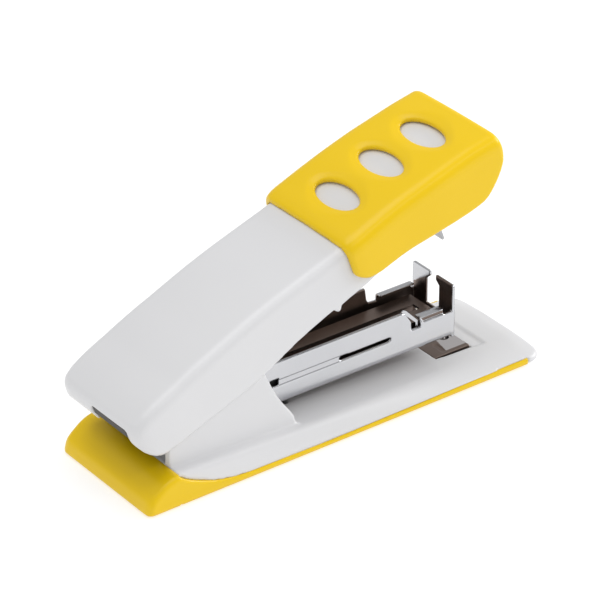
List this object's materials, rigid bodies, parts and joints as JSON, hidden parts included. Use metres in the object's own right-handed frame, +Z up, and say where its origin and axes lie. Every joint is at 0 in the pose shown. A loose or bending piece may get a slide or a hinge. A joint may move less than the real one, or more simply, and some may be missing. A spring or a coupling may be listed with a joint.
{
  "type": "stapler",
  "caption": "Compact half-strip desk stapler, opened: long base with hinge cheeks, folded steel staple magazine and a lifting handle with a soft grip.",
  "frame": {"origin": "on the ground, under the middle of the overall length and width", "axes": "+X towards the end that drives the staple, +Y to the left of someone looking forward along +X, +Z up"},
  "size_m": [0.1163, 0.0352, 0.0643],
  "materials": {
    "white_plastic": "moulded, satin gloss",
    "yellow_plastic": "moulded, soft satin",
    "bright_steel": "bright nickel plating on folded sheet",
    "plain_steel": "zinc plated",
    "black_plastic": "moulded, matt",
    "pad_rubber": "flat non-slip sheet"
  },
  "bodies": {
    "base": {"base_tray": "yellow_plastic", "base_pad": "pad_rubber", "base_cover": "white_plastic", "base_plate": "plain_steel", "anvil": "bright_steel", "base_screw_1": "plain_steel", "base_screw_2": "plain_steel", "lift_spring": "plain_steel", "hinge_pin": "plain_steel", "pin_clip": "plain_steel"},
    "magazine": {"magazine_channel": "bright_steel", "magazine_tongue": "bright_steel", "staple_rail": "bright_steel", "guide_rod": "plain_steel", "rear_stop": "black_plastic", "pusher_spring": "plain_steel", "torsion_spring": "plain_steel", "rail_rivet_1": "plain_steel", "rail_rivet_2": "plain_steel", "rail_rivet_3": "plain_steel", "rail_rivet_4": "plain_steel"},
    "pusher": {"pusher": "black_plastic"},
    "handle": {"handle_shell": "white_plastic", "grip_cover": "yellow_plastic", "handle_frame": "plain_steel", "driver_blade": "plain_steel", "blade_rivet_1": "plain_steel", "blade_rivet_2": "plain_steel", "frame_screw_1": "plain_steel", "frame_screw_2": "plain_steel"}
  },
  "joints": [
    {"name": "magazine_tilt", "type": "hinge", "parent": "base", "child": "magazine", "pos_m": [-0.049, 0, 0.02], "axis": [0, 1, 0], "range_deg": [0, 2.4], "stiffness_Nm_per_rad": 2, "springref_deg": -2.86, "deforming": ["lift_spring"]},
    {"name": "handle_open", "type": "hinge", "parent": "magazine", "child": "handle", "pos_m": [-0.049, 0, 0.02], "axis": [0, -1, 0], "range_deg": [-17.5, 40]},
    {"name": "pusher_slide", "type": "slide", "parent": "magazine", "child": "pusher", "axis": [1, 0, 0], "range_m": [0, 0.043], "deforming": ["pusher_spring"]}
  ]
}
